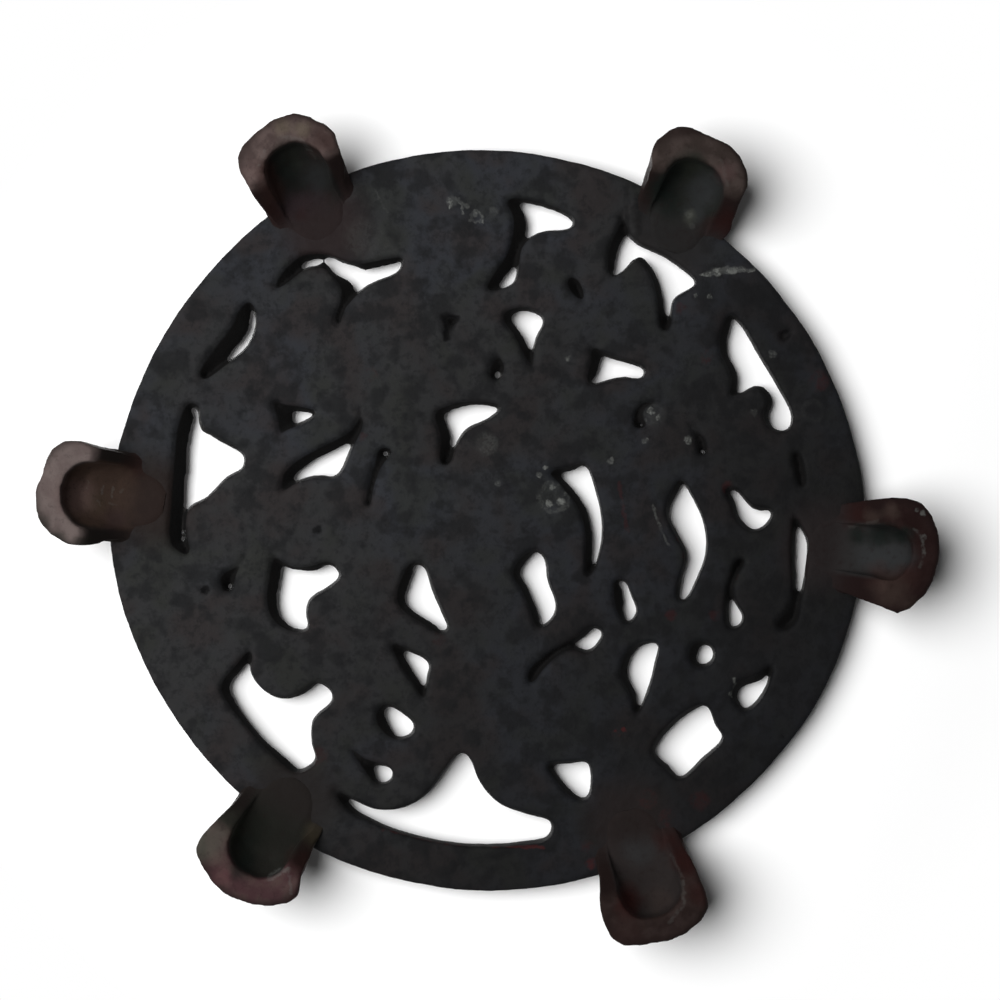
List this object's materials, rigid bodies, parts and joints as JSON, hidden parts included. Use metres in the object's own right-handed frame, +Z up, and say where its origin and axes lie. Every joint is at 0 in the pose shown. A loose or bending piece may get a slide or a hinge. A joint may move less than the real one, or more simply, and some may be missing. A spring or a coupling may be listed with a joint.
{
  "type": "trivet",
  "caption": "Round openwork trivet plate with low leaf and blossom relief, standing on hollowed feet that are riveted in round its rim.",
  "frame": {"origin": "on the floor, under the middle of the whole trivet's box, which is 2.6 mm from the plate's own centre", "axes": "+Z up, out of the plate's top face. Seen from below with +Y up the view, +X points to the left, so the foot named left lies towards +X and the foot named right towards -X."},
  "size_m": [0.221, 0.2034, 0.0203],
  "materials": {
    "plate_iron": "rough sand-cast iron, blackened, with faint rust",
    "foot_iron": "rough sand-cast iron, worn brown at the sole"
  },
  "bodies": {
    "root": {"openwork_plate": "plate_iron", "foot_right": "foot_iron", "foot_upper_right": "foot_iron", "foot_upper_left": "foot_iron", "foot_left": "foot_iron", "foot_lower_left": "foot_iron", "foot_lower_right": "foot_iron"}
  },
  "joints": []
}
